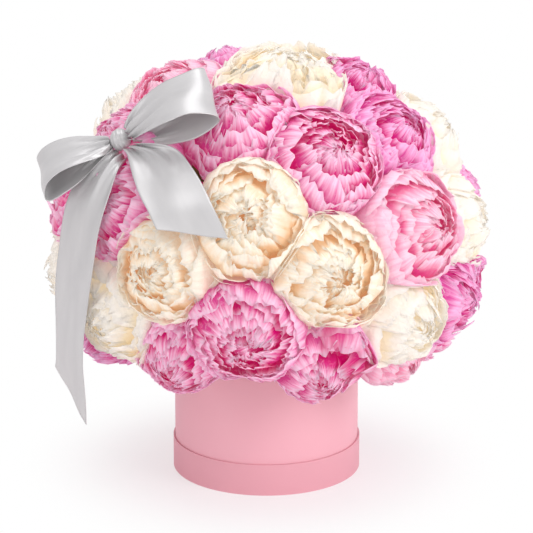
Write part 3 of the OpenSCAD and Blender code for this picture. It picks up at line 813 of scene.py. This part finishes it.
loop_right = loop_stations([
    (1, 4, 24, 0), (11, 14, 55, 10), (33, 27, 86, 18), (55, 35, 100, 20), (76, 36, 100, 18), (93, 29, 100, 8),
    (100, 17, 100, 2), (92, 9, 100, -2), (66, 2, 100, -4), (36, -1, 80, 0), (12, -4, 46, 0), (1, -4, 24, 0),
], (0.93, -0.05, 0.40), (0.50, -0.72, -0.48))
loop_left = loop_stations([
    (1, 4, 24, 0), (9, 10, 52, 5), (29, 20, 86, 10), (51, 26, 100, 10), (70, 25, 100, 6), (83, 15, 100, 0),
    (81, 7, 100, 0), (66, 5, 100, 0), (41, 5, 92, 0), (15, 2, 50, 0), (1, -2, 24, 0),
], (-0.80, 0.12, -0.57), (0.14, -0.90, -0.41))
tail_short = tail_stations([
    ((-58.9, -46.7, 65.4), (0.60, -0.50, 0.50), 26),
    ((-49.7, -56.8, 64.3), (0.93, -0.15, 0.33), 77),
    ((-44.7, -66.8, 58.5), (0.96, -0.12, 0.22), 97),
    ((-40.5, -76.0, 51.8), (0.97, -0.08, 0.18), 103),
    ((-36.3, -84.8, 45.1), (0.97, -0.08, 0.12), 103),
    ((-31.7, -92.3, 36.0), (0.98, -0.13, -0.10), 115),
])
tail_long = tail_stations([
    ((-63.0, -42.8, 59.1), (0.60, -0.60, -0.20), 26),
    ((-67.8, -49.0, 57.4), (0.60, -0.75, 0.00), 54),
    ((-75.2, -54.3, 47.0), (0.62, -0.78, 0.00), 90),
    ((-80.2, -55.1, 31.7), (0.62, -0.78, 0.00), 100),
    ((-83.1, -53.5, 9.6), (0.60, -0.80, 0.00), 100),
    ((-85.6, -51.0, -11.5), (0.55, -0.84, 0.00), 100),
    ((-86.9, -49.3, -30.7), (0.50, -0.86, 0.00), 100),
    ((-86.9, -48.0, -51.8), (0.50, -0.86, 0.00), 100),
    ((-86.5, -46.8, -67.2), (0.42, -0.70, -0.56), 120),
])
for name, node, stations, folds, lay, held in (
    ("ribbon_loop_right", "bow_loop_right", loop_right, 3, 0.4, "folded"),
    ("ribbon_loop_left", "bow_loop_left", loop_left, 3, 2.1, "folded"),
    ("ribbon_end_short", "ribbon_tail_short", tail_short, 2, 3.3, "hung"),
    ("ribbon_end_long", "ribbon_tail_long", tail_long, 2, 5.0, "hung"),
):
    piece, length = ribbon_piece(name, stations, folds, lay)
    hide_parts(node)


# ---------------------------------------------------------------- Knot and pick
# The knot is a short length of the same ribbon, bunched and wound round the
# middle of the bow, over the head of a thin wooden pick.
def wrapped_knot():
    """A closed barrel round the bow's middle, pinched by slanting turns of ribbon."""
    along, around = 40, 72
    turns, pinch, squash = 4.3, 0.10, 0.03
    end_round = 0.42
    inside_r, inside_len = knot_r * 0.97, knot_len * 0.98
    seam_r = 0.00002
    axis = unit(knot_axis)
    x = unit(np.cross(axis, (0.3, 0.2, 1.0)))
    y = np.cross(axis, x)
    verts, uvs = [], []
    for i in range(along + 1):
        s = i / along
        bulge = math.sin(math.pi * s) ** end_round if 0 < s < 1 else 0
        for k in range(around):
            a = 2 * math.pi * k / around
            slant = 0.22 * math.sin(a + 0.6) + 0.1 * math.sin(3 * a)
            crease = abs(math.sin(math.pi * (s * turns + slant)))
            r = inside_r * bulge * (1 - pinch + pinch * crease ** 0.6)
            r *= 1 + squash * math.sin(2 * a + 5 * s)
            place = knot_at + axis * inside_len * (s - 0.5) + (x * math.cos(a) + y * math.sin(a)) * r
            verts.append(place + (0, 0, dome_z))
            uvs.append((knot_len * s, 2 * math.pi * knot_r * k / around))
    faces = []
    for i in range(along):
        for k in range(around):
            this, after = i * around, (i + 1) * around
            faces.append((this + k, this + (k + 1) % around, after + (k + 1) % around, after + k))
    mesh = bpy.data.meshes.new("ribbon_knot")
    mesh.from_pydata([tuple(v) for v in verts], [], faces)
    layer = mesh.uv_layers.new(name="cloth")
    for loop in mesh.loops:
        layer.data[loop.index].uv = uvs[loop.vertex_index]
    work = bmesh.new()
    work.from_mesh(mesh)
    bmesh.ops.remove_doubles(work, verts=work.verts, dist=seam_r)
    bmesh.ops.recalc_face_normals(work, faces=work.faces)
    work.to_mesh(mesh)
    work.free()
    mesh.polygons.foreach_set("use_smooth", [True] * len(mesh.polygons))
    mesh.materials.append(satin)
    return mesh


knot = bpy.data.objects.new("ribbon_knot", wrapped_knot())
bpy.context.scene.collection.objects.link(knot)
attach(knot, "arrangement")
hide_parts("bow_knot")

pick_wood, tree = finish_in("pick wood")
where = add(tree, "ShaderNodeTexCoord")
turned = add(tree, "ShaderNodeMapping", Vector=where.outputs["Object"], Scale=(300, 300, 40))
grain = add(tree, "ShaderNodeTexNoise", Vector=turned.outputs[0], Scale=1.0, Detail=4.0)
colour = add(tree, "ShaderNodeMix", {"data_type": "RGBA"}, i0=grain.outputs["Fac"],
             i6=paint(176, 134, 84), i7=paint(214, 178, 128))
relief = add(tree, "ShaderNodeBump", Strength=0.4, Distance=0.0002, Height=grain.outputs["Fac"])
skin = add(tree, "ShaderNodeBsdfPrincipled", Base_Color=colour.outputs[2], Roughness=0.6,
           Normal=relief.outputs[0])
add(tree, "ShaderNodeOutputMaterial", Surface=skin.outputs[0])
dress("bow_pick", pick_wood)
